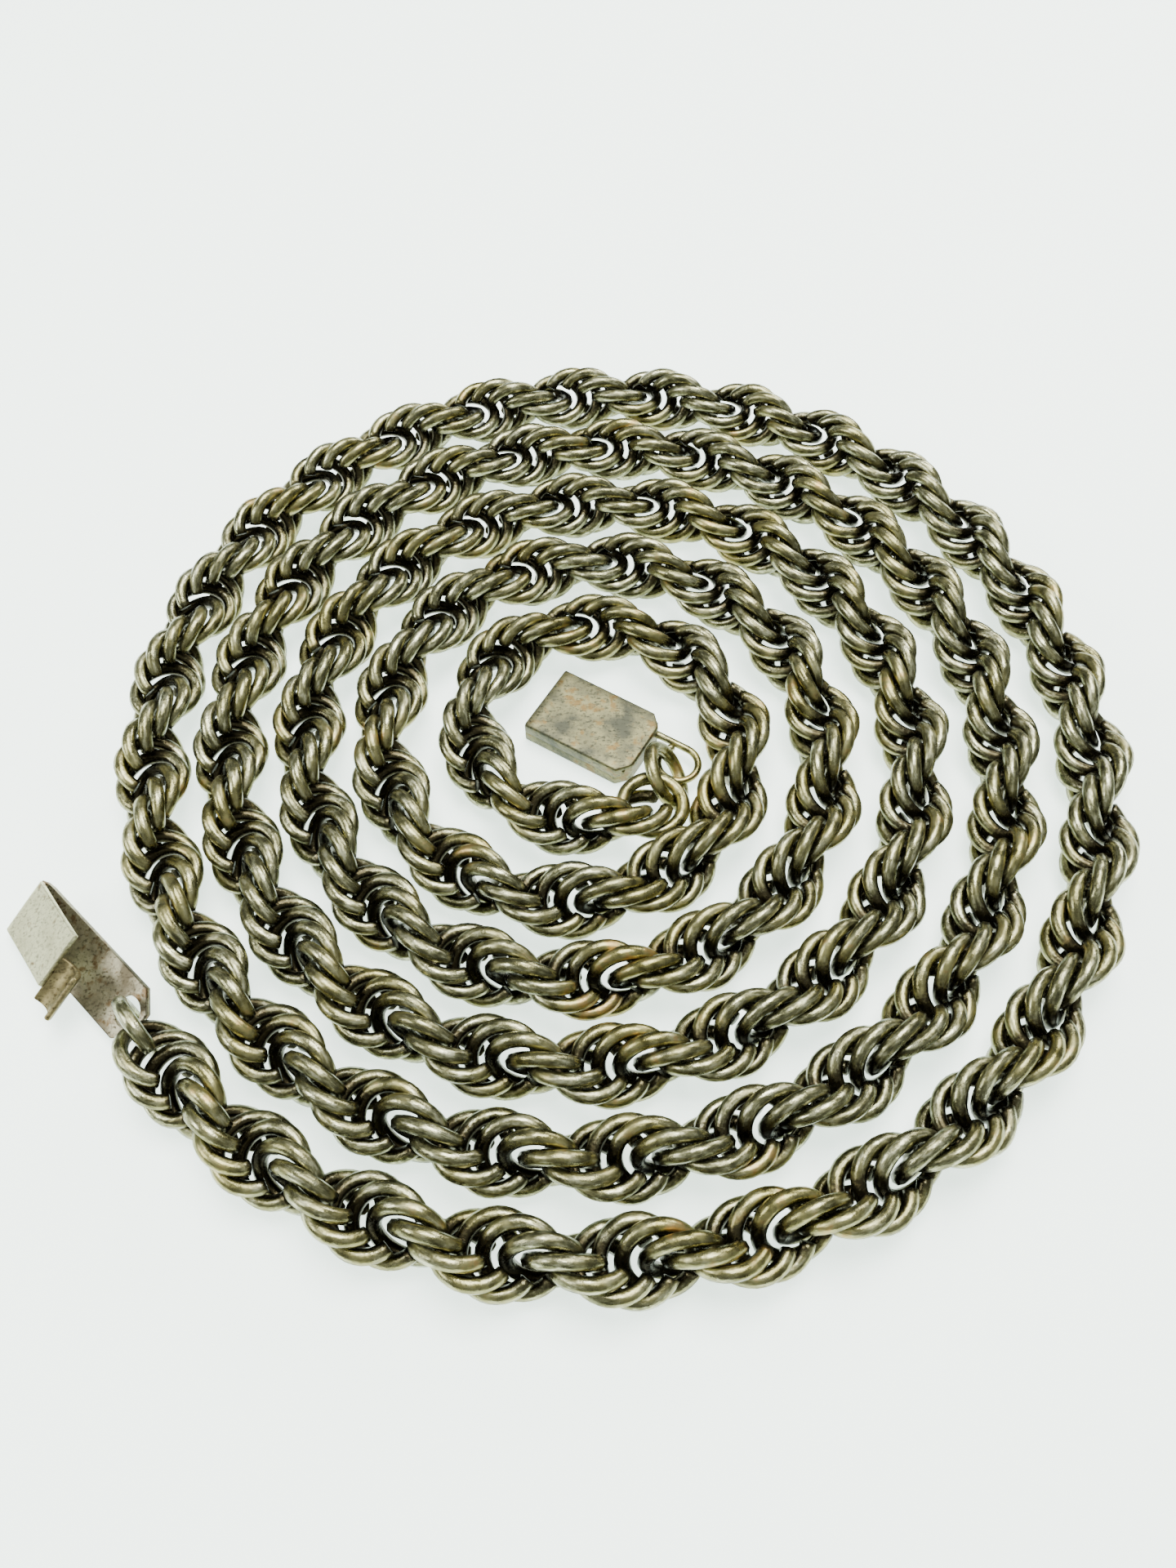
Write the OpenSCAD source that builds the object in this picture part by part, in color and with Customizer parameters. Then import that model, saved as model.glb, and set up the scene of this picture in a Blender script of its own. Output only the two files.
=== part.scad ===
// Chain necklace: a rope of open wire rings laid in a flat coil, with a box and tongue clasp.
// Lengths are in millimetres and angles in degrees. Z is up, and the coil lies on the plane z = 0.
// The origin is on that plane, at the middle of the coil.

/* [Rope] */
// Diameter of the wire that the rings are bent from
wire_d = 0.9; // [0.75:0.01:1.1]
// Whole laps of the coil, before the part lap that leads to the box
laps = 4; // [3:1:5]
// Gap between two laps where they come closest
lap_gap = 0.05; // [0.05:0.01:0.2]

/* [Tongue] */
// Width of the tongue strip
tongue_w = 4.4; // [3.6:0.1:5.4]
// Distance from the middle of the tongue's hole to its nose
tongue_l = 12.6; // [10.5:0.1:15.2]
// Thickness of the tongue strip
strip_t = 0.4; // [0.3:0.01:0.5]
// Length of the upper leaf, from the fold to its free edge
leaf_l = 6.8; // [5.6:0.1:8.2]
// Opening angle between the two leaves
leaf_angle = 14; // [11.5:0.5:17]
// Length of the thumb piece, across the tongue
thumb_l = 3.6; // [3:0.1:4.4]

/* [Box] */
// Length of the box
box_l = 9.4; // [8:0.1:11.3]
// Height of the box
box_h = 2.2; // [2.15:0.05:2.65]
// Thickness of the box's walls
wall_t = 0.4; // [0.32:0.01:0.42]
// Clearance at each side of the tongue in the box
slide_gap = 0.6; // [0.4:0.01:0.75]
// Diameter of the wire of the box's eye
eye_wire_d = 0.6; // [0.5:0.01:0.72]

/* [Hidden] */
$fn = 48;
slack = 0.01;

// The weave: how the rings' size, pitch and turn follow from the wire
ring_r = 2.72 * wire_d;
rope_d = 2 * ring_r + wire_d;
weave_pitch = 1.6 * wire_d;
weave_twist = 31;
ring_gap = 56;
first_pitch = 1.5 * weave_pitch;
tongue_ring_turn = 90;

// The coil: a spiral that loses one lap_pitch each lap, then a bend that turns towards the box
start_angle = -141.4;
end_angle = 90.4;
turns = laps + (end_angle - start_angle) / 360;
mid_shift = 0.45;
stretch_y = 1.02;
lap_pitch = rope_d + lap_gap + sqrt(2) * mid_shift;
bend_r = 1.6 * rope_d;
inner_r = 1.866 * rope_d;
coil_mid = [1.52, 1.84];
end_heading = 32;
step_deg = 2;

function coil_at(t) =
    let (a = start_angle + 360 * t, r = inner_r + lap_pitch * (turns - t))
    [coil_mid[0] - mid_shift * t + r * cos(a), coil_mid[1] - mid_shift * t + stretch_y * r * sin(a)];

spiral = [for (a = [0:step_deg:360 * turns]) coil_at(a / 360)];
spiral_end = spiral[len(spiral) - 1];
spiral_way = spiral_end - spiral[len(spiral) - 2];
bend_start = atan2(spiral_way[1], spiral_way[0]);
bend_mid = spiral_end + bend_r * [-sin(bend_start), cos(bend_start)];
bend_sweep = (360 - bend_start) % 360 + end_heading;
bend = [for (a = [step_deg:step_deg:bend_sweep])
    bend_mid + bend_r * [sin(bend_start + a), -cos(bend_start + a)]];
route = concat(spiral, bend);

// Length along the route at each of its points, and the place and heading at any length
run = [for (i = 0, s = 0; i < len(route);
    s = s + (i < len(route) - 1 ? norm(route[i + 1] - route[i]) : 0), i = i + 1) s];
run_x = [for (i = [0:len(route) - 1]) [run[i], route[i][0]]];
run_y = [for (i = [0:len(route) - 1]) [run[i], route[i][1]]];
rope_l = run[len(run) - 1];
function at(s) = [lookup(s, run_x), lookup(s, run_y)];
function heading(s) =
    let (d = at(min(s + 0.3, rope_l)) - at(max(s - 0.3, 0))) atan2(d[1], d[0]);

// The rings: their number, and the pitch and turn that end the rope on a flat ring
ring_count = floor((rope_l - first_pitch) / weave_pitch) + 1;
pitch = (rope_l - first_pitch) / (ring_count - 1);
whole_turns = round((tongue_ring_turn + weave_twist * rope_l / pitch) / 360);
twist = (360 * whole_turns - tongue_ring_turn) * pitch / rope_l;
function ring_s(i) = first_pitch + pitch * i;
function ring_turn(s) = tongue_ring_turn + twist * s / pitch;

// The rope is cut into lengths that bend against each other
rope_parts = 53;
function part_start(k) = floor(k * ring_count / rope_parts);
function part_name(k) = str("rope_", k < 9 ? "0" : "", k + 1);

// Place of the tongue: its hole is round the tongue ring's wire, it is rolled onto one edge,
// and that edge's end at the fold is on the table
hook_angle = 205;
tongue_heading = 137;
tongue_roll = 27;
hole_play = 1.4;
hole_d = wire_d + hole_play;
hole_margin = 0.3;
end_chamfer = 1.4;
tongue_mid = concat(
    at(0) + ring_r * cos(hook_angle) * [cos(heading(0)), sin(heading(0))],
    rope_d / 2 + ring_r * sin(hook_angle));

// The fold at the tongue's nose, with the split where the upper leaf flexes
fold_r = 0.45;
fold_x = tongue_l - fold_r - strip_t / 2;
tongue_drop = tongue_w / 2 * sin(tongue_roll) + strip_t / 2 * cos(tongue_roll);
tongue_tilt = asin((tongue_mid[2] - tongue_drop) / fold_x);
fold_split = 20;
split_angle = 12;
thumb_r = 1.55;
thumb_start = 35;
thumb_sweep = 115;
thumb_y = -0.35;
thumb_lap = 0.2;

// Place of the box: its eye lies beside the rope's last ring, and the end ring joins the two
end_ring_at = [2.77 * wire_d, 2.07 * wire_d, 2.78 * wire_d];
end_ring_yaw = -25.8;
end_ring_lean = 33.8;
eye_at = [4.79 * wire_d, 3.24 * wire_d];
eye_z = 1.45 * wire_d;
eye_r = 1.6;
eye_reach = 2.76;
eye_side = 0.4;
eye_sweep = 320;
box_heading = -31;
box_w = tongue_w + 2 * slide_gap + 2 * wall_t;
box_chamfer = 1;

module wire_ring(gap) {
    rotate([0, 0, gap / 2])
        rotate_extrude(angle = 360 - gap)
            translate([ring_r, 0]) circle(d = wire_d);
}

// One ring at its place on the route, with its opening towards the box
module rope_ring(s, gap) {
    place = at(s);
    translate([place[0], place[1], rope_d / 2])
        rotate([0, 0, heading(s)])
            rotate([ring_turn(s), 0, 0])
                wire_ring(gap);
}

module rope_part(k) {
    color(k % 2 == 0 ? "darkkhaki" : "tan")
        for (i = [part_start(k):part_start(k + 1) - 1])
            rope_ring(ring_s(i), i == ring_count - 1 ? 0 : ring_gap);
}

module tongue_ring() {
    color("darkkhaki") rope_ring(0, ring_gap);
}

// Frame of the tongue: x runs from its hole to its nose, and z is its upper side
module tongue_frame() {
    translate(tongue_mid)
        rotate([0, 0, tongue_heading])
            rotate([0, tongue_tilt, 0])
                rotate([-tongue_roll, 0, 0])
                    children();
}

// Part of the fold, between two angles about its axis
module fold_part(from, to) {
    translate([fold_x, 0, fold_r])
        rotate([90, 0, 0])
            rotate([0, 0, from])
                rotate_extrude(angle = to - from)
                    translate([fold_r - strip_t / 2, -tongue_w / 2]) square([strip_t, tongue_w]);
}

module tongue_outline() {
    back = -hole_d / 2 - hole_margin;
    side = tongue_w / 2;
    polygon([
        [back, -side + end_chamfer], [back + end_chamfer, -side], [fold_x, -side],
        [fold_x, side], [back + end_chamfer, side], [back, side - end_chamfer]]);
}

module tongue_plate() {
    color("silver") tongue_frame() {
        difference() {
            translate([0, 0, -strip_t / 2]) linear_extrude(strip_t) tongue_outline();
            translate([0, 0, -strip_t]) cylinder(d = hole_d, h = 2 * strip_t);
        }
        fold_part(-90, fold_split);
    }
}

// Frame of the upper leaf: its origin is on the fold's axis, and x runs to the free edge
module leaf_frame() {
    tongue_frame()
        translate([fold_x, 0, fold_r])
            rotate([0, leaf_angle, 0])
                mirror([1, 0, 0])
                    children();
}

module leaf_sheet() {
    leaf_frame()
        translate([0, -tongue_w / 2, fold_r - strip_t / 2]) cube([leaf_l, tongue_w, strip_t]);
}

module spring_leaf() {
    color("gainsboro") {
        leaf_sheet();
        tongue_frame() fold_part(fold_split + split_angle, 90 - leaf_angle);
    }
}

// A trough across the tongue, cut to sit under the leaf's free edge
module thumb_piece() {
    color("darkgoldenrod") difference() {
        leaf_frame()
            translate([leaf_l - thumb_lap + thumb_r * cos(thumb_start), 0,
                fold_r - strip_t / 2 + thumb_r * sin(thumb_start)])
                rotate([-90, 0, 0])
                    rotate([0, 0, 180 - thumb_start - thumb_sweep])
                        rotate_extrude(angle = thumb_sweep)
                            translate([thumb_r - strip_t / 2, thumb_y]) square([strip_t, thumb_l]);
        leaf_sheet();
    }
}

// Frame of the rope's last ring: x is the way the rope runs
module rope_end_frame() {
    translate([at(rope_l)[0], at(rope_l)[1], 0]) rotate([0, 0, heading(rope_l)]) children();
}

module end_ring() {
    color("darkkhaki") rope_end_frame()
        translate(end_ring_at)
            rotate([0, 0, end_ring_yaw])
                rotate([0, 90 - end_ring_lean, 0])
                    wire_ring(0);
}

// Frame of the box: x runs from its end wall to its eye
module box_frame() {
    rope_end_frame()
        translate([eye_at[0], eye_at[1], 0])
            rotate([0, 0, box_heading - heading(rope_l)])
                translate([-eye_reach, -eye_side, 0])
                    children();
}

// A straight shank from the end wall, bent round into an eye
module box_eye() {
    color("darkkhaki") box_frame() translate([0, eye_side, eye_z]) {
        translate([0, eye_r, 0]) rotate([0, 90, 0]) cylinder(d = eye_wire_d, h = eye_reach);
        translate([eye_reach, 0, 0])
            rotate([0, 0, 90 - eye_sweep])
                rotate_extrude(angle = eye_sweep)
                    translate([eye_r, 0]) circle(d = eye_wire_d);
    }
}

module box_outline(mouth, inset) {
    side = box_w / 2 - inset;
    back = -inset;
    cut = box_chamfer - inset * (2 - sqrt(2));
    polygon([
        [-mouth, -side], [back - cut, -side], [back, -side + cut],
        [back, side - cut], [back - cut, side], [-mouth, side]]);
}

module box_shell() {
    color("silver") box_frame() difference() {
        linear_extrude(box_h) box_outline(box_l, 0);
        translate([0, 0, wall_t])
            linear_extrude(box_h - 2 * wall_t) box_outline(box_l + slack, wall_t);
    }
}

tongue_plate();
spring_leaf();
thumb_piece();
tongue_ring();
for (k = [0:rope_parts - 1]) {
    rope_part(k);
}
end_ring();
box_eye();
box_shell();
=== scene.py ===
"""Chain necklace: a long rope of open round-wire rings in a flat coil, with a box and tongue clasp."""

import math

import bpy
import numpy as np
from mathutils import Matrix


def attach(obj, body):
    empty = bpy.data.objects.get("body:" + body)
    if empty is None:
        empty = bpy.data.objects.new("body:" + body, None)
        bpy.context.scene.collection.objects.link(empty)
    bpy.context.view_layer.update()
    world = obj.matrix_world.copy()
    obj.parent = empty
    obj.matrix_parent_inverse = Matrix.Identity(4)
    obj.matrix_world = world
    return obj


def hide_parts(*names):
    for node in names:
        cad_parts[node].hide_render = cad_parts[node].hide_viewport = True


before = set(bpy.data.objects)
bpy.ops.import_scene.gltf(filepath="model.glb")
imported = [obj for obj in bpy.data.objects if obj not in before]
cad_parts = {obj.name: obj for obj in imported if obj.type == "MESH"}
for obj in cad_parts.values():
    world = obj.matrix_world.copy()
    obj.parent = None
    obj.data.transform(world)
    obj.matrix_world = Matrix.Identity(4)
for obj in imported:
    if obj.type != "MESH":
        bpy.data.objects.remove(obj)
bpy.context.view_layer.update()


# ---------------------------------------------------------------------------
# Studio: the coil lies on a pale sheet under a wide soft light, and the camera
# stands close over the near edge, about 59 degrees above the table.
# ---------------------------------------------------------------------------
mm = 0.001
aim = np.array([0.18, -4.56, 3.0]) * mm
camera_distance = 90 * mm
camera_rise = math.radians(58.8)

camera_data = bpy.data.cameras.new("camera")
camera_data.sensor_fit = "VERTICAL"
camera_data.sensor_height = 36
camera_data.lens = 26.85
camera_data.clip_start = 1 * mm
camera = bpy.data.objects.new("camera", camera_data)
bpy.context.collection.objects.link(camera)
camera.location = aim + camera_distance * np.array([0, -math.cos(camera_rise), math.sin(camera_rise)])
camera.rotation_euler = (math.pi / 2 - camera_rise, 0, 0)
bpy.context.scene.camera = camera

table_half = 0.7
table_mesh = bpy.data.meshes.new("table_sheet")
table_corners = [(x * table_half, y * table_half, -0.01 * mm)
                 for x, y in ((-1, -1), (1, -1), (1, 1), (-1, 1))]
table_mesh.from_pydata(table_corners, [], [(0, 1, 2, 3)])
table_sheet = bpy.data.objects.new("table_sheet", table_mesh)
bpy.context.collection.objects.link(table_sheet)

table_paper = bpy.data.materials.new("pale_table")
table_paper.use_nodes = True
table_shader = table_paper.node_tree.nodes["Principled BSDF"]
table_shader.inputs["Base Color"].default_value = (0.955, 0.99, 0.965, 1)
table_shader.inputs["Roughness"].default_value = 0.6
table_shader.inputs["Emission Color"].default_value = (0.82, 1.0, 0.90, 1)
table_shader.inputs["Emission Strength"].default_value = 2.2
table_mesh.materials.append(table_paper)


def soft_light(name, place, size, power, colour):
    """A square area light of that size in metres, aimed at the middle of the coil."""
    data = bpy.data.lights.new(name, "AREA")
    data.shape = "SQUARE"
    data.size = size
    data.energy = power
    data.color = colour
    light = bpy.data.objects.new(name, data)
    light.location = place
    away = np.array(place) / np.linalg.norm(place)
    light.rotation_euler = (math.acos(away[2]), 0, math.atan2(away[1], away[0]) + math.pi / 2)
    bpy.context.collection.objects.link(light)


soft_light("top_light", (0.02, 0.10, 0.42), 0.26, 3.4, (1.0, 1.0, 0.97))
soft_light("side_light", (-0.34, -0.05, 0.24), 0.16, 0.9, (0.97, 1.0, 0.98))
soft_light("far_light", (0.22, 0.34, 0.22), 0.16, 1.0, (1.0, 0.99, 0.95))

world = bpy.data.worlds.new("light_tent")
bpy.context.scene.world = world
world.use_nodes = True
world_nodes = world.node_tree.nodes
world_links = world.node_tree.links
world_way = world_nodes.new("ShaderNodeTexCoord")
world_split = world_nodes.new("ShaderNodeSeparateXYZ")
world_ramp = world_nodes.new("ShaderNodeValToRGB")
world_ramp.color_ramp.elements[0].position = 0.0
world_ramp.color_ramp.elements[0].color = (0.16, 0.17, 0.16, 1)
world_ramp.color_ramp.elements[1].position = 0.9
world_ramp.color_ramp.elements[1].color = (0.86, 0.92, 0.87, 1)
world_links.new(world_way.outputs["Generated"], world_split.inputs["Vector"])
world_links.new(world_split.outputs["Z"], world_ramp.inputs["Fac"])
world_links.new(world_ramp.outputs["Color"], world_nodes["Background"].inputs["Color"])
world_nodes["Background"].inputs["Strength"].default_value = 0.92


# ---------------------------------------------------------------------------
# Rope: more than five hundred rings of drawn silver wire, each bent round and
# left open, hooked one into the next with a steady right-hand turn. The rope
# is wound from the outside in and bends back under the box.
# ---------------------------------------------------------------------------
wire_d = 0.9 * mm
ring_r = 2.72 * wire_d
rope_d = 2 * ring_r + wire_d
weave_pitch = 1.6 * wire_d
weave_twist = 31
ring_gap = math.radians(56)
first_pitch = 1.5 * weave_pitch
laps = 4
start_angle, end_angle = -141.4, 90.4
turns = laps + (end_angle - start_angle) / 360
mid_shift = 0.45 * mm
lap_gap = 0.05 * mm
lap_pitch = rope_d + lap_gap + math.sqrt(2) * mid_shift
bend_r = 1.6 * rope_d
inner_r = 1.866 * rope_d
coil_mid = np.array([1.52, 1.84]) * mm
coil_stretch = 1.02
end_heading = 32
rope_parts = 53
ring_roll, ring_sway = 0.016, 0.012
full_wire_d = 1.08 * mm
full_ring_r = (rope_d - full_wire_d) / 2


def coil_route():
    """Places along the middle of the rope, two degrees apart. First a spiral: radius = inner radius +
    lap pitch * (all turns - turns so far), stretched a little front to back about a middle that
    drifts as it goes. Then an arc of the bend's radius, which turns on to the end heading."""
    t = np.arange(0, 360 * turns, 2) / 360
    angle = np.radians(start_angle + 360 * t)
    r = inner_r + lap_pitch * (turns - t)
    spiral = np.stack([coil_mid[0] - mid_shift * t + r * np.cos(angle),
                       coil_mid[1] - mid_shift * t + coil_stretch * r * np.sin(angle)], 1)
    way = spiral[-1] - spiral[-2]
    bend_start = math.degrees(math.atan2(way[1], way[0]))
    left = np.array([-way[1], way[0]]) / np.linalg.norm(way)
    sweep = (360 - bend_start) % 360 + end_heading
    a = np.radians(bend_start + np.arange(2, sweep, 2))
    bend = spiral[-1] + bend_r * left + bend_r * np.stack([np.sin(a), -np.cos(a)], 1)
    return np.vstack([spiral, bend])


route = coil_route()
run = np.concatenate([[0], np.cumsum(np.linalg.norm(np.diff(route, axis=0), axis=1))])
rope_l = run[-1]


def at(s):
    """Places on the route at those lengths from its start, on straight lines between its points."""
    return np.stack([np.interp(s, run, route[:, 0]), np.interp(s, run, route[:, 1])], -1)


def heading(s):
    """Direction of the route at those lengths: the angle of the line between two places on it,
    one a little before and one a little after."""
    reach = 0.3 * mm
    step = at(np.minimum(s + reach, rope_l)) - at(np.maximum(s - reach, 0))
    return np.arctan2(step[..., 1], step[..., 0])


# The turn from ring to ring is trimmed so that the route starts with a ring on edge and ends with
# one lying flat.
ring_count = int((rope_l - first_pitch) // weave_pitch) + 1
ring_pitch = (rope_l - first_pitch) / (ring_count - 1)
whole_turns = round((90 + weave_twist * rope_l / ring_pitch) / 360)
twist = (360 * whole_turns - 90) * ring_pitch / rope_l
ring_s = first_pitch + ring_pitch * np.arange(ring_count)
part_start = np.arange(rope_parts + 1) * ring_count // rope_parts


def skin(name, grids, closed=False, **marks):
    """Joins rows of points into closed surfaces. grids has the shape (surfaces, rows, points
    round, 3), and each face joins points j and j + 1 of rows i and i + 1. Rows join in a ring if
    closed, and otherwise a fan to the middle of each end's points shuts it."""
    count, rows, around, _ = grids.shape
    points = grids.reshape(count, -1, 3)
    if not closed:
        points = np.concatenate([points, grids[:, [0, -1]].mean(2)], 1)
    offsets = points.shape[1] * np.arange(count)[:, None, None]
    i = np.arange(rows if closed else rows - 1)[:, None]
    j = np.arange(around)[None, :]
    i_next, j_next = (i + 1) % rows, (j + 1) % around
    quads = np.stack([i * around + j, i_next * around + j, i_next * around + j_next, i * around + j_next], -1)
    face_list = (quads.reshape(-1, 4)[None] + offsets).reshape(-1, 4).tolist()
    if not closed:
        pole = rows * around
        first = np.stack([j[0], j_next[0], np.full(around, pole)], -1)
        last = np.stack([j_next[0], j[0], np.full(around, pole + 1)], -1)
        last[:, :2] += (rows - 1) * around
        face_list += (np.concatenate([first, last])[None] + offsets).reshape(-1, 3).tolist()
    mesh = bpy.data.meshes.new(name)
    mesh.from_pydata(points.reshape(-1, 3).tolist(), [], face_list)
    mesh.shade_smooth()
    for mark, values in marks.items():
        if not closed:
            values = np.concatenate([values.reshape(count, rows * around, -1),
                                     values[:, [0, -1]].mean(2).reshape(count, 2, -1)], 1)
        wide = values.shape[-1] == 3
        layer = mesh.attributes.new(mark, "FLOAT_VECTOR" if wide else "FLOAT", "POINT")
        layer.data.foreach_set("vector" if wide else "value", values.astype(np.float32).ravel())
    piece = bpy.data.objects.new(name, mesh)
    bpy.context.collection.objects.link(piece)
    return piece


def ramp(low, high, x):
    """Smooth step from 0 at low to 1 at high: 3 t squared - 2 t cubed, where t is the share of the
    way from low to high."""
    t = np.clip((x - low) / (high - low), 0, 1)
    return t * t * (3 - 2 * t)


def wire_rings(centre, along, up, gap, seed, around=8, steps=34):
    """Round wire carried round a circle in the plane of along and up: a point is centre + ring
    radius * spoke(a) + wire radius * (cos b * spoke(a) + sin b * normal). Slow sines of a make the
    wire a little uneven and the ring a little oval, and an open ring's cut ends are rounded off.
    Returns the points, how exposed each is (1 outside the rope, 0 inside; this mask darkens the
    weave with tarnish and with painted shade), and its place along the wire."""
    cut_step, cut_girth = 0.012, 0.86
    oval_depth, girth_drift = 0.02 * mm, 0.02
    sheltered, exposed = 0.35, 0.85
    rng = np.random.default_rng(seed)
    count = len(centre)
    if gap == 0:
        a = np.arange(steps) * 2 * np.pi / steps
        girth = np.ones(steps)
    else:
        a = np.concatenate([[gap / 2] * 2, np.linspace(gap / 2, 2 * np.pi - gap / 2, steps - 4)[1:-1],
                            [2 * np.pi - gap / 2] * 2])
        a[1] += cut_step
        a[-2] -= cut_step
        girth = np.ones(len(a))
        girth[[0, -1]] = cut_girth
    b = np.arange(around) * 2 * np.pi / around
    normal = np.cross(along, up)
    spoke = (np.cos(a)[None, :, None] * along[:, None] + np.sin(a)[None, :, None] * up[:, None])
    drift = rng.uniform(0, 2 * np.pi, (count, 3, 1))
    oval = oval_depth * np.sin(2 * a[None] + drift[:, 0])
    thick = full_wire_d / 2 * girth[None] * (1 + girth_drift * np.sin(3 * a[None] + drift[:, 1]))
    mid = centre[:, None] + (full_ring_r + oval)[..., None] * spoke
    out = (np.cos(b)[None, None, :, None] * spoke[:, :, None]
           + np.sin(b)[None, None, :, None] * normal[:, None, None])
    points = mid[:, :, None] + thick[:, :, None, None] * out
    rope_way = along[:, None, None]
    side = points - centre[:, None, None]
    side = side - (side * rope_way).sum(-1, keepdims=True) * rope_way
    reach = np.linalg.norm(side, axis=-1, keepdims=True)
    facing = (out * side).sum(-1, keepdims=True) / np.maximum(reach, 1e-9)
    # Points deep in the rope and faces turned in towards its middle get a low mask, and the colour goes dark
    # there: tarnish in the weave, and painted shade where the rings hide each other.
    wear = ramp(sheltered, exposed, reach / (rope_d / 2)) * ramp(-0.5, 0.5, facing)
    start = rng.uniform(0, 1, (count, 1, 1, 3))
    place = np.stack(np.broadcast_arrays(
        (ring_r * a)[None, :, None], (wire_d / 2 * np.cos(b))[None, None],
        (wire_d / 2 * np.sin(b))[None, None]), -1)
    return points, wear, place + start


def ring_frames(s):
    """Centre, rope direction and ring direction of the rings at those lengths. A ring is rolled
    about the rope by 90 degrees + twist * its number, with a small roll and sway of its own."""
    rng = np.random.default_rng(len(s))
    h = heading(s)
    turn = np.radians(90 + twist * s / ring_pitch) + rng.normal(0, ring_roll, len(s))
    zero = np.zeros(len(s))
    way = np.stack([np.cos(h), np.sin(h), zero], -1)
    left = np.stack([-np.sin(h), np.cos(h), zero], -1)
    rise = np.array([0, 0, 1.0])
    up = np.cos(turn)[:, None] * left + np.sin(turn)[:, None] * rise
    sway = rng.normal(0, ring_sway, len(s))[:, None]
    along = way * np.cos(sway) + np.cross(way, up) * np.sin(sway)
    centre = np.concatenate([at(s), np.full((len(s), 1), rope_d / 2)], 1)
    return centre, along, up


def new_surface(name):
    """An empty metal: its node tree, its shader and a function that adds a node and sets it up."""
    material = bpy.data.materials.new(name)
    material.use_nodes = True
    tree = material.node_tree
    shader = tree.nodes["Principled BSDF"]
    shader.inputs["Metallic"].default_value = 1.0

    def add(kind, inputs=(), **settings):
        """A new node with its settings, and each input linked to a socket or set to a value."""
        node = tree.nodes.new(kind)
        for key, value in settings.items():
            setattr(node, key, value)
        for key, value in dict(inputs).items():
            if isinstance(value, bpy.types.NodeSocket):
                tree.links.new(value, node.inputs[key])
            else:
                node.inputs[key].default_value = value
        return node

    return material, tree, shader, add


def steps_ramp(add, fac, *stops):
    """A colour ramp through (position, colour) stops, driven by fac."""
    node = add("ShaderNodeValToRGB", {"Fac": fac})
    elements = node.color_ramp.elements
    while len(elements) < len(stops):
        elements.new(0.5)
    for element, (position, colour) in zip(elements, stops):
        element.position = position
        element.color = (*colour, 1)
    return node.outputs["Color"]


def noise(add, place, scale, **more):
    """Noise over a place vector, as a value near a half."""
    return add("ShaderNodeTexNoise", {"Vector": place, "Scale": scale, **more}).outputs["Fac"]


def spread(add, value, low, high, to_low=0.0, to_high=1.0):
    """Takes a value in a straight line from low..high to to_low..to_high, and clamps it there."""
    return add("ShaderNodeMapRange", {"Value": value, "From Min": low, "From Max": high,
                                      "To Min": to_low, "To Max": to_high}).outputs["Result"]


def combined(add, *values, operation="ADD"):
    """The values added up, or put through another operation."""
    return add("ShaderNodeMath", dict(enumerate(values)), operation=operation).outputs[0]


def mixed(add, share, first, second):
    """A colour that goes from first at share 0 to second at share 1."""
    return add("ShaderNodeMix", {0: share, 6: first, 7: second}, data_type="RGBA").outputs[2]


def finish_metal(tree, shader, colour, gloss, bump):
    """Links a metal's colour, roughness and bump to its shader."""
    for value, key in ((colour, "Base Color"), (gloss, "Roughness"), (bump, "Normal")):
        tree.links.new(value, shader.inputs[key])


def worn_and_shaded_wire_silver():
    """Old drawn silver: pale champagne where it is rubbed, dull olive below, and black-brown in the
    weave, where the exposure mask lays on tarnish and painted shade together. Fine pits and short scratches
    run along the wire."""
    material, tree, shader, add = new_surface("worn_and_shaded_wire_silver")
    place = add("ShaderNodeTexCoord").outputs["Object"]
    wear = add("ShaderNodeAttribute", attribute_name="wear").outputs["Fac"]
    wire = add("ShaderNodeAttribute", attribute_name="place").outputs["Vector"]
    patch = noise(add, place, 150.0, Detail=3.0)
    blotch = noise(add, place, 900.0, Detail=4.0)
    grain = noise(add, place, 4200.0, Detail=3.0)
    along_wire = add("ShaderNodeMapping", {"Vector": wire, "Scale": (0.3, 1.0, 1.0)}).outputs["Vector"]
    scratch = noise(add, along_wire, 3800.0, Detail=5.0, Roughness=0.62)

    grey = steps_ramp(add, scratch, (0.35, (0.075, 0.072, 0.036)), (0.5, (0.20, 0.195, 0.105)),
                      (0.64, (0.54, 0.53, 0.35)))
    brassy = steps_ramp(add, blotch, (0.35, (0.11, 0.098, 0.034)), (0.65, (0.40, 0.365, 0.155)))
    rubbed = mixed(add, spread(add, patch, 0.46, 0.66), grey, brassy)
    rust_at = combined(add, patch, blotch, operation="MULTIPLY")
    rust = spread(add, rust_at, 0.36, 0.43, to_high=0.6)
    tinted = mixed(add, rust, rubbed, (0.34, 0.19, 0.065, 1))
    # Where the exposure mask is low the colour goes black-brown: tarnish in the weave together with painted
    # shade.
    rough_wear = combined(add, grain, 0.9, wear, operation="MULTIPLY_ADD")
    colour = mixed(add, spread(add, rough_wear, 0.5, 1.05), (0.045, 0.038, 0.02, 1), tinted)
    gloss = spread(add, blotch, 0.3, 0.7, 0.20, 0.38)
    relief = combined(add, grain, scratch)
    bump = add("ShaderNodeBump", {"Height": relief, "Strength": 0.7, "Distance": 0.03 * mm}).outputs["Normal"]
    finish_metal(tree, shader, colour, gloss, bump)
    return material


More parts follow.
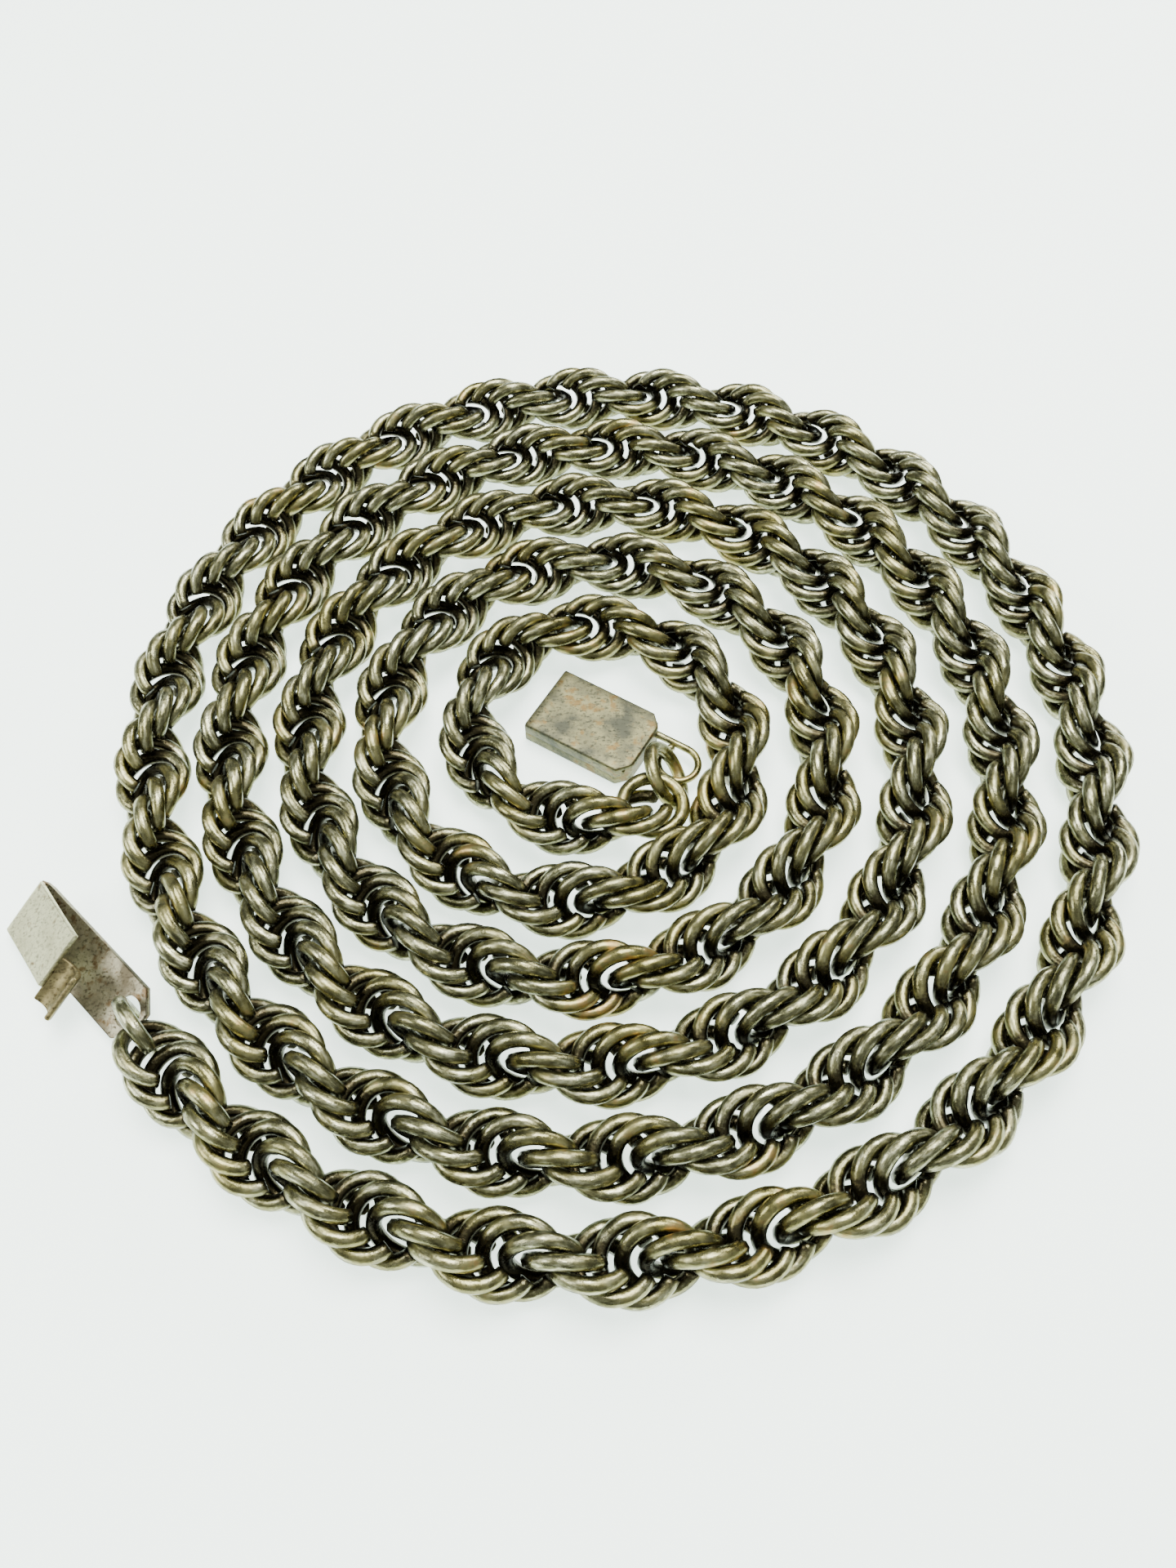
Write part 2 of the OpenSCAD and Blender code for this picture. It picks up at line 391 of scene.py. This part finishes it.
wire_silver = worn_and_shaded_wire_silver()
rope_frames = ring_frames(ring_s)
for k in range(rope_parts):
    rings = slice(part_start[k], part_start[k + 1] - (k == rope_parts - 1))
    centre, along, up = (values[rings] for values in rope_frames)
    points, wear, place = wire_rings(centre, along, up, ring_gap, k)
    part = skin(f"rope_rings_{k + 1:02d}", points, wear=wear, place=place)
    part.data.materials.append(wire_silver)
    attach(part, f"rope_{k + 1:02d}")
    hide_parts(f"rope_{k + 1:02d}")

# The rope's last ring is closed, and the end ring hangs in it.
# The closed last ring keeps at least this much of the exposure mask, so it gets less tarnish and less painted
# shade.
last_ring_wear = 0.75
centre, along, up = (values[-1:] for values in rope_frames)
points, wear, place = wire_rings(centre, along, up, 0, rope_parts)
last_ring = skin("last_rope_ring", points, closed=True, wear=np.maximum(wear, last_ring_wear), place=place)
last_ring.data.materials.append(wire_silver)
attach(last_ring, f"rope_{rope_parts:02d}")
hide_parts(f"rope_{rope_parts:02d}")


# ---------------------------------------------------------------------------
# Tongue ring: one more rope ring, standing on edge, that passes through the
# tongue's hole and hooks into the first rings of the rope.
# ---------------------------------------------------------------------------
centre, along, up = ring_frames(np.array([0.0]))
tongue_ring_seed = 101
# The tongue ring keeps at least this much of the exposure mask, so it gets less tarnish and less painted
# shade.
tongue_ring_wear = 0.7
points, wear, place = wire_rings(centre, along, up, ring_gap, tongue_ring_seed)
tongue_ring = skin("tongue_ring_wire", points, wear=np.maximum(wear, tongue_ring_wear), place=place)
tongue_ring.data.materials.append(wire_silver)
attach(tongue_ring, "tongue_ring")
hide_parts("tongue_ring")


# ---------------------------------------------------------------------------
# Tongue: one strip of silver sheet, pierced at the rope end and folded back
# on itself at the nose. The lower leaf carries the fold and lies on one edge.
# ---------------------------------------------------------------------------
tongue_w = 4.4 * mm
tongue_l = 12.6 * mm
strip_t = 0.4 * mm
tongue_cut = 1.3 * mm
hole_d = 2.3 * mm
hole_back = 0.3 * mm
sheet_corner_r = 0.08 * mm
sheet_edge = 0.09 * mm
fold_r = 0.45 * mm
fold_x = tongue_l - fold_r - strip_t / 2
fold_split = math.radians(23)
leaf_angle = math.radians(14)
leaf_l = 6.8 * mm
tongue_turn = math.radians(137)
tongue_roll = math.radians(27)
hook = math.radians(205)
tongue_mid = centre[0] + ring_r * (math.cos(hook) * along[0] + math.sin(hook) * np.array([0, 0, 1.0]))
tongue_drop = tongue_w / 2 * math.sin(tongue_roll) + strip_t / 2 * math.cos(tongue_roll)
tongue_tilt = math.asin((tongue_mid[2] - tongue_drop) / fold_x)


def turned(heading_angle, dip, roll=0.0):
    """Axes of a frame: x is (cos heading * cos dip, sin heading * cos dip, -sin dip), y is level and
    square to it, and z is x cross y. y and z are then rolled about x, y downwards."""
    c, s = math.cos(heading_angle), math.sin(heading_angle)
    x = np.array([c * math.cos(dip), s * math.cos(dip), -math.sin(dip)])
    y = np.array([-s, c, 0.0])
    z = np.cross(x, y)
    return np.stack([x, math.cos(roll) * y - math.sin(roll) * z, math.sin(roll) * y + math.cos(roll) * z])


def outline(corners, radius, spacing):
    """A closed outline round the corners, counterclockwise. Each corner is an arc of the radius,
    centred on the line that halves it at radius / sin(half the corner's angle) from its point, and
    each side is cut into steps no longer than the spacing."""
    corners = np.array(corners, float)
    before = np.roll(corners, 1, 0) - corners
    after = np.roll(corners, -1, 0) - corners
    before /= np.linalg.norm(before, axis=1, keepdims=True)
    after /= np.linalg.norm(after, axis=1, keepdims=True)
    half = np.arccos(np.clip((before * after).sum(1), -1, 1)) / 2
    knots = []
    for corner, back, on, open_half in zip(corners, before, after, half):
        inward = (back + on) / np.linalg.norm(back + on)
        mid = corner + inward * radius / math.sin(open_half)
        t = np.linspace(-1, 1, 7)[:, None] * (math.pi / 2 - open_half)
        across = (on - back) / np.linalg.norm(on - back)
        knots.append(mid + radius * (np.cos(t) * -inward + np.sin(t) * across))
    knots = np.vstack(knots)
    gaps = np.linalg.norm(np.roll(knots, -1, 0) - knots, axis=1)
    pieces = [a + (b - a) * np.arange(n)[:, None] / n
              for a, b, n in zip(knots, np.roll(knots, -1, 0), np.ceil(gaps / spacing).astype(int))]
    return np.vstack(pieces)


def sheet_rows(rim, hub, thickness, edge, shares):
    """Rows of a flat sheet of that thickness between a hub and a rim: the top face out from the
    hub, a rounded edge, and the bottom face back. A face's row lies at its share of the way from
    the hub to the rim, and the edge's rows at height thickness / 2 * cos(t), drawn in by edge *
    (1 - sin(t)). Returns (rows, points, 3)."""
    t = np.linspace(0, np.pi, 9)
    rims = [rim + (hub - rim) * share for share in (1 - shares)[:-1]]
    inset = edge * (1 - np.sin(t))
    reach = np.linalg.norm(rim - hub, axis=1)[:, None]
    rows = [np.c_[row, np.full(len(row), thickness / 2)] for row in rims]
    for height, step in zip(np.cos(t) * thickness / 2, inset):
        rows.append(np.c_[rim + (hub - rim) / reach * step, np.full(len(rim), height)])
    rows += [np.c_[row, np.full(len(row), -thickness / 2)] for row in rims[::-1]]
    return np.stack(rows)


def rolled(points, start, radius):
    """Rolls the sheet up round an axis a radius above it, from x = start on: a point at distance d
    past the start and height z goes to angle d / radius, at radius - z from the axis."""
    x, y, z = points[..., 0], points[..., 1], points[..., 2]
    a = np.maximum(x - start, 0) / radius
    return np.stack([np.minimum(x, start) + (radius - z) * np.sin(a), y,
                     np.where(x > start, radius - (radius - z) * np.cos(a), z)], -1)


def clasp_silver(name, pale, dull, stain, stain_from):
    """Rolled silver sheet, worn matt: fine crossing scratches, dull clouds, and brown stains where
    the product of two noises passes stain_from."""
    material, tree, shader, add = new_surface(name)
    place = add("ShaderNodeTexCoord").outputs["Object"]
    cloud = noise(add, place, 420.0, Detail=5.0, Roughness=0.6)
    grain = noise(add, place, 5200.0, Detail=4.0)
    spots = noise(add, place, 1500.0, Detail=3.0)
    long_way = add("ShaderNodeMapping", {"Vector": place, "Rotation": (0, 0, 0.73), "Scale": (0.3, 1, 1)})
    scratch = noise(add, long_way.outputs["Vector"], 5000.0)
    cross_way = add("ShaderNodeMapping", {"Vector": place, "Rotation": (0, 0, -0.5), "Scale": (0.35, 1, 1)})
    cross = noise(add, cross_way.outputs["Vector"], 3600.0)
    metal = steps_ramp(add, cloud, (0.36, dull), (0.58, pale))
    marks = combined(add, grain, scratch)
    dark = spread(add, marks, 0.72, 1.0)
    scuff = tuple(0.6 * c for c in dull)
    scuffed = mixed(add, dark, (*scuff, 1), metal)
    stain_at = combined(add, cloud, spots, operation="MULTIPLY")
    stained = spread(add, stain_at, stain_from, stain_from + 0.09, to_high=0.8)
    colour = mixed(add, stained, scuffed, (*stain, 1))
    gloss = spread(add, cloud, 0.3, 0.7, 0.56, 0.40)
    relief = combined(add, marks, cross)
    bump = add("ShaderNodeBump", {"Height": relief, "Strength": 0.35,
                                  "Distance": 0.012 * mm}).outputs["Normal"]
    finish_metal(tree, shader, colour, gloss, bump)
    return material


sheet_silver = clasp_silver("worn_sheet_silver", (0.66, 0.64, 0.42), (0.50, 0.48, 0.31),
                            (0.20, 0.12, 0.05), 0.34)
# The lower leaf is the same sheet as the upper leaf, painted much darker as painted shade under the upper
# leaf, with more brown stain of its own.
shaded_and_stained_silver = clasp_silver("shaded_and_stained_sheet_silver", (0.36, 0.33, 0.235), (0.15, 0.125, 0.08),
                              (0.13, 0.07, 0.025), 0.27)
tongue_axes = turned(tongue_turn, tongue_tilt, tongue_roll)
tongue_back = -hole_d / 2 - hole_back
split_reach = fold_x + fold_r * (math.pi / 2 + fold_split)
side = tongue_w / 2
tongue_rim = outline([(tongue_back, -side + tongue_cut), (tongue_back + tongue_cut, -side),
                      (split_reach, -side), (split_reach, side),
                      (tongue_back + tongue_cut, side), (tongue_back, side - tongue_cut)],
                     sheet_corner_r, 0.4 * mm)
hole_rim = hole_d / 2 * tongue_rim / np.linalg.norm(tongue_rim, axis=1, keepdims=True)
# The rows stand closer together where the strip rolls round the fold.
tongue_shares = np.concatenate([[0.0], np.linspace(0.002, 0.9, 16), np.linspace(0.9, 1, 14)[1:]])
tongue_rows = rolled(sheet_rows(tongue_rim, hole_rim, strip_t, sheet_edge, tongue_shares), fold_x, fold_r)
lower_leaf = skin("tongue_lower_leaf", (tongue_mid + tongue_rows @ tongue_axes)[None], closed=True)
# The lower leaf's colour holds painted shade as well as real stains.
lower_leaf.data.materials.append(shaded_and_stained_silver)
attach(lower_leaf, "tongue")
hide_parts("tongue_plate")


# ---------------------------------------------------------------------------
# Upper leaf: the rest of the same strip, springing up from the fold. Its free
# edge catches behind the mouth of the box when the clasp is shut.
# ---------------------------------------------------------------------------
leaf_origin = tongue_mid + np.array([fold_x, 0, fold_r]) @ tongue_axes
leaf_axes = np.array([[-math.cos(leaf_angle), 0, math.sin(leaf_angle)], [0, -1, 0],
                      [math.sin(leaf_angle), 0, math.cos(leaf_angle)]]) @ tongue_axes
leaf_slit = math.radians(4)
leaf_back = -fold_r * (math.pi / 2 - leaf_angle - fold_split - leaf_slit)
leaf_rim = outline([(leaf_back, -side), (leaf_l, -side), (leaf_l, side), (leaf_back, side)],
                   sheet_corner_r, 0.3 * mm)
hub_share = 0.002
leaf_hub = np.array([[0.5 * leaf_l, 0.0]]) + hub_share * leaf_rim
leaf_rows = sheet_rows(leaf_rim, leaf_hub, strip_t, sheet_edge, np.linspace(0, 1, 24) ** 0.7)
bend_back = rolled(leaf_rows * np.array([-1, 1, 1]), 0, -fold_r) * np.array([-1, 1, 1])
bend_back[..., 2] += fold_r
upper_leaf = skin("tongue_upper_leaf", (leaf_origin + bend_back @ leaf_axes)[None])
upper_leaf.data.materials.append(sheet_silver)
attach(upper_leaf, "leaf")
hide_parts("spring_leaf")


# ---------------------------------------------------------------------------
# Thumb piece: a short curled strip soldered under the leaf's free edge and
# standing out past its side, where a fingernail presses the leaf down.
# ---------------------------------------------------------------------------
thumb_r = 1.55 * mm
thumb_start = math.radians(215)
thumb_out, thumb_in = 3.25 * mm, 0.35 * mm
thumb_set_back = 0.2 * mm
thumb_arc = thumb_r * math.radians(115)
thumb_rim = outline([(0, -thumb_out), (thumb_arc, -thumb_out), (thumb_arc, thumb_in), (0, thumb_in)],
                    0.1 * mm, 0.3 * mm)
thumb_hub = np.array([[0.5 * thumb_arc, (thumb_in - thumb_out) / 2]]) + hub_share * thumb_rim
thumb_flat = sheet_rows(thumb_rim, thumb_hub, strip_t, 0.1 * mm, np.linspace(0, 1, 20))
thumb_turn = thumb_start + thumb_flat[..., 0] / thumb_r
thumb_reach = thumb_r - thumb_flat[..., 2]
thumb_mid = np.array([leaf_l - thumb_set_back - thumb_r * math.cos(thumb_start), 0,
                      fold_r - strip_t / 2 - thumb_r * math.sin(thumb_start)])
thumb_rows = thumb_mid + np.stack([thumb_reach * np.cos(thumb_turn), thumb_flat[..., 1],
                                   thumb_reach * np.sin(thumb_turn)], -1)
thumb = skin("thumb_strip", (leaf_origin + thumb_rows @ leaf_axes)[None])
thumb.data.materials.append(clasp_silver("brassy_thumb_silver", (0.30, 0.25, 0.12), (0.11, 0.09, 0.045),
                                         (0.13, 0.08, 0.03), 0.28))
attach(thumb, "leaf")
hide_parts("thumb_piece")


# ---------------------------------------------------------------------------
# End ring: a closed ring of the same wire that joins the rope's last ring to
# the box's eye. It leans on both.
# ---------------------------------------------------------------------------
end_way = heading(np.array(rope_l))
end_axes = turned(end_way, 0)
rope_end = np.array([*at(rope_l), 0])
end_ring_at = np.array([2.77, 2.07, 2.78]) * wire_d
end_ring_turn, end_ring_lean = -25.8, 33.8
# The end ring keeps at least this much of the exposure mask, so it gets less tarnish and less painted shade.
end_ring_seed = 102
end_ring_wear = 0.8
end_ring_mid = rope_end + end_ring_at @ end_axes
ring_axes = turned(end_way + math.radians(end_ring_turn), math.radians(90 - end_ring_lean))
points, wear, place = wire_rings(end_ring_mid[None], ring_axes[:1], ring_axes[1:2], 0, end_ring_seed)
end_ring = skin("end_ring_wire", points, closed=True, wear=np.maximum(wear, end_ring_wear), place=place)
end_ring.data.materials.append(wire_silver)
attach(end_ring, "end_ring")
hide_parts("end_ring")


# ---------------------------------------------------------------------------
# Box eye: thinner wire soldered to the box's end wall at one corner and bent
# round into an eye, with its cut end left just inside the loop.
# ---------------------------------------------------------------------------
eye_wire_d = 0.6 * mm
eye_r = 1.6 * mm
eye_reach = 2.76 * mm
eye_side = 0.4 * mm
eye_at = np.array([4.79, 3.24, 1.45]) * wire_d
eye_root = 0.3 * mm
eye_bend = math.radians(320)
eye_around = 12
# The eye has one exposure mask value all along it, so it gets little tarnish and painted shade.
eye_wear_all = 0.85
eye_mark_step = 0.25 * mm
box_turn = math.radians(-31)
eye_mid = rope_end + eye_at @ end_axes
box_axes = turned(box_turn, 0)
box_end = eye_mid - np.array([eye_reach, eye_side, 0]) @ box_axes
eye_turn = np.linspace(math.pi / 2, math.pi / 2 - eye_bend, 44)
shank = np.stack([np.linspace(-eye_root, eye_reach, 10)[:-1], np.full(9, eye_r)], 1)
loop = np.array([eye_reach, 0]) + eye_r * np.stack([np.cos(eye_turn), np.sin(eye_turn)], 1)
eye_path = np.vstack([shank, loop])
eye_way = np.gradient(eye_path, axis=0)
eye_way /= np.linalg.norm(eye_way, axis=1, keepdims=True)
b = np.arange(eye_around) * 2 * np.pi / eye_around
eye_girth = np.ones(len(eye_path))
eye_girth[-1] = 0.8
right = np.stack([eye_way[:, 1], -eye_way[:, 0]], 1)
eye_wire_r = (eye_wire_d / 2 * eye_girth)[:, None]
eye_flat = eye_path[:, None] + (eye_wire_r * np.cos(b))[..., None] * right[:, None]
eye_rise = eye_wire_r * np.sin(b)
eye_rows = np.concatenate([eye_flat + [0, eye_side], eye_rise[..., None]], -1)
eye_points = box_end + eye_rows @ box_axes
eye_place = np.stack(np.broadcast_arrays(np.arange(len(eye_path))[:, None] * eye_mark_step,
                                         eye_wire_d * np.cos(b)[None], eye_wire_d * np.sin(b)[None]), -1)
eye_wear = np.full((1, len(eye_path), eye_around, 1), eye_wear_all)
eye = skin("box_eye_wire", eye_points[None], wear=eye_wear, place=eye_place[None])
eye.data.materials.append(wire_silver)
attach(eye, "box")
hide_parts("box_eye")


# ---------------------------------------------------------------------------
# Box: folded from silver sheet, open at the far end for the tongue, with its
# rope-end corners cut off and a seam along its side walls.
# ---------------------------------------------------------------------------
box_l = 9.4 * mm
box_w = 6.4 * mm
box_h = 2.2 * mm
wall_t = 0.4 * mm
box_chamfer = 1 * mm


def box_section(width, height, radius, seam):
    """Points round a box section in y and z, clockwise seen from the rope end: four quarter circles
    of the radius joined by straight sides, with a shallow seam halfway up each side wall."""
    y, z = width / 2 - radius, height / 2 - radius
    t = np.linspace(0, np.pi / 2, 5)
    c, s = radius * np.cos(t), radius * np.sin(t)
    corners = [(-y - c, z + s), (y + s, z + c), (y + c, -z - s), (-y - s, -z - c)]
    flat = np.linspace(-y, y, 9)[1:-1]
    rise = np.array([-0.07, 0.0, 0.07]) * mm
    dip = np.array([0, seam, 0])
    parts = [corners[0], (flat, np.full(7, height / 2)), corners[1], (width / 2 - dip, -rise),
             corners[2], (-flat, np.full(7, -height / 2)), corners[3], (-width / 2 + dip, rise)]
    return np.concatenate([np.stack(part, 1) for part in parts])


def box_row(x, width, height, radius, seam=0.0):
    """One section of the box at x from its end wall, as points in space, standing on its floor."""
    section = box_section(width, height, radius, seam)
    return np.c_[np.full(len(section), x), section[:, 0], section[:, 1] + box_h / 2]


# From the middle of the end wall's inside out to the mouth, round the lip, and back along the
# outside to the middle of the end wall: where, how wide, how high, corner radius and seam.
inside_w, inside_h = box_w - 2 * wall_t, box_h - 2 * wall_t
lip_x = -box_l + 0.1 * mm
box_r, seam = 0.22 * mm, 0.035 * mm
box_steps = [(-wall_t, 0.4 * inside_w, 0.4 * inside_h, 0.1 * mm)]
box_steps += [(x, inside_w, inside_h, 0.15 * mm) for x in np.linspace(-wall_t, lip_x, 12)]
box_steps += [(-box_l + 0.02 * mm, inside_w + 0.08 * mm, inside_h + 0.08 * mm, 0.16 * mm),
              (-box_l, inside_w + 0.3 * mm, inside_h + 0.3 * mm, 0.2 * mm),
              (-box_l, box_w - 0.3 * mm, box_h - 0.3 * mm, 0.25 * mm),
              (-box_l + 0.02 * mm, box_w - 0.08 * mm, box_h - 0.08 * mm, 0.25 * mm)]
box_steps += [(x, box_w, box_h, box_r, seam) for x in np.linspace(lip_x, -box_chamfer - 0.05 * mm, 14)]
box_steps += [(-box_chamfer + 0.06 * mm, box_w - 0.09 * mm, box_h, box_r, seam),
              (-0.2 * mm, box_w - 1.7 * mm, box_h, box_r, 0.02 * mm),
              (-0.06 * mm, box_w - 2.1 * mm, box_h - 0.12 * mm, box_r),
              (0, box_w - 2.5 * mm, box_h - 0.5 * mm, 0.2 * mm),
              (0, 0.3 * box_w, 0.3 * box_h, 0.1 * mm)]
box_rows = [box_row(*step) for step in box_steps]
box_shell = skin("box_case", (box_end * [1, 1, 0] + np.stack(box_rows) @ box_axes)[None])
box_shell.data.materials.append(clasp_silver("worn_box_silver", (0.18, 0.17, 0.09), (0.075, 0.077, 0.055),
                                             (0.15, 0.095, 0.035), 0.29))
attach(box_shell, "box")
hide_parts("box_shell")
